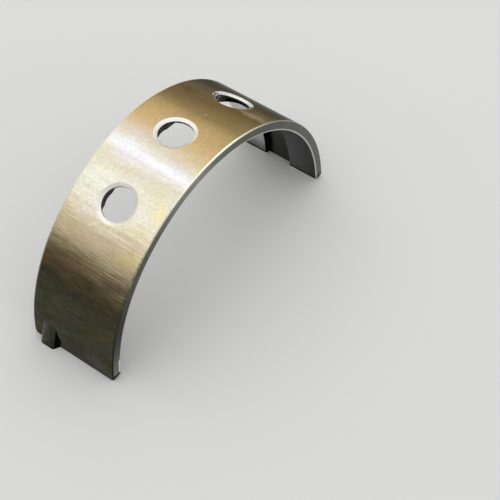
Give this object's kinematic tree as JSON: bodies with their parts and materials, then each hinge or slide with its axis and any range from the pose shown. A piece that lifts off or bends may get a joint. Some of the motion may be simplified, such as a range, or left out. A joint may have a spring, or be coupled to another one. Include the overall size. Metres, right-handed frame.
{
  "type": "engine bearing shell",
  "caption": "Grooved half shell of a plain crankshaft bearing, with countersunk oil holes through its round back and a locating tang at one joint face.",
  "frame": {"origin": "the middle of the footprint, in the plane of the joint faces and halfway across the width; the bore axis runs along Y at X = 0.7 mm, Z = 0, because the tang makes the footprint 1.4 mm longer on the -X side", "axes": "+Y runs along the bore axis, from the rim farther from the tang to the rim nearer it; +Z points from the joint plane to the crown; +X points from the tang's leg to the plain leg"},
  "size_m": [0.068, 0.0204, 0.0333],
  "materials": {
    "ground_steel": "fine-ground back with lines across the width and a warm gold-brown tint, bright chamfers, matte grey bore"
  },
  "bodies": {
    "root": {"bearing_shell": "ground_steel"}
  },
  "joints": []
}
